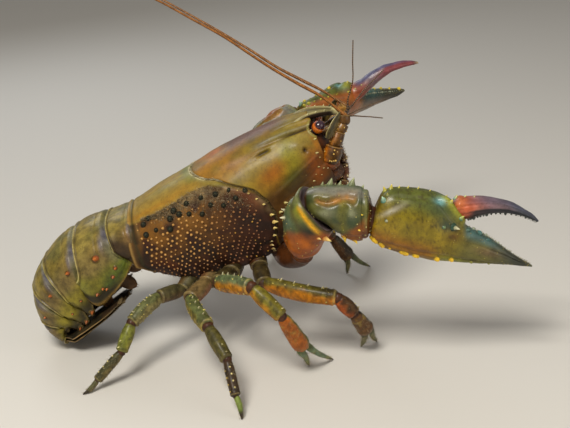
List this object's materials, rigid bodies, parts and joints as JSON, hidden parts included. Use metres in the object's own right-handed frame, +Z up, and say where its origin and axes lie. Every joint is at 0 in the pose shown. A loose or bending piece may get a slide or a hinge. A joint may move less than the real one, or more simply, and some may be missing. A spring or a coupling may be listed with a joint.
{
  "type": "spiny crayfish model",
  "caption": "Life-size museum model of a large spiny freshwater crayfish standing on its walking legs, claws forward, tail tucked, long antennae swept back.",
  "frame": {"origin": "centre of the bounding box at floor level, between the feet", "axes": "+X towards the head and claws, +Y to the animal's left, +Z up"},
  "size_m": [0.2114, 0.1784, 0.1639],
  "materials": {
    "shell": "glossy",
    "abdomen": "glossy",
    "tail_fan": "satin",
    "claw": "glossy",
    "claw_finger": "glossy",
    "arm": "glossy",
    "leg": "satin",
    "eye": "glossy",
    "antenna": "satin",
    "mouthparts": "matte"
  },
  "bodies": {
    "root": {"abdomen_1": "abdomen", "abdomen_2": "abdomen", "abdomen_3": "abdomen", "abdomen_4": "abdomen", "abdomen_5": "abdomen", "abdomen_6": "abdomen", "antenna_base_left": "antenna", "antenna_base_right": "antenna", "antenna_inner_left": "antenna", "antenna_inner_right": "antenna", "antenna_outer_left": "antenna", "antenna_outer_right": "antenna", "antenna_scale_left": "shell", "antenna_scale_right": "shell", "antennule_left": "antenna", "antennule_right": "antenna", "arm_left": "arm", "arm_right": "arm", "carapace": "shell", "carpus_left": "claw", "carpus_right": "claw", "dactyl_left": "claw_finger", "dactyl_right": "claw_finger", "eye_left": "eye", "eye_right": "eye", "leg_2_carpus_left": "leg", "leg_2_carpus_right": "leg", "leg_2_foot_left": "leg", "leg_2_foot_right": "leg", "leg_2_upper_left": "leg", "leg_2_upper_right": "leg", "leg_3_carpus_left": "leg", "leg_3_carpus_right": "leg", "leg_3_foot_left": "leg", "leg_3_foot_right": "leg", "leg_3_upper_left": "leg", "leg_3_upper_right": "leg", "leg_4_carpus_left": "leg", "leg_4_carpus_right": "leg", "leg_4_foot_left": "leg", "leg_4_foot_right": "leg", "leg_4_upper_left": "leg", "leg_4_upper_right": "leg", "leg_5_carpus_left": "leg", "leg_5_carpus_right": "leg", "leg_5_foot_left": "leg", "leg_5_foot_right": "leg", "leg_5_upper_left": "leg", "leg_5_upper_right": "leg", "maxilliped_left": "mouthparts", "maxilliped_right": "mouthparts", "propodus_left": "claw", "propodus_right": "claw", "telson": "tail_fan", "uropod_inner_left": "tail_fan", "uropod_inner_right": "tail_fan", "uropod_outer_left": "tail_fan", "uropod_outer_right": "tail_fan"}
  },
  "joints": []
}
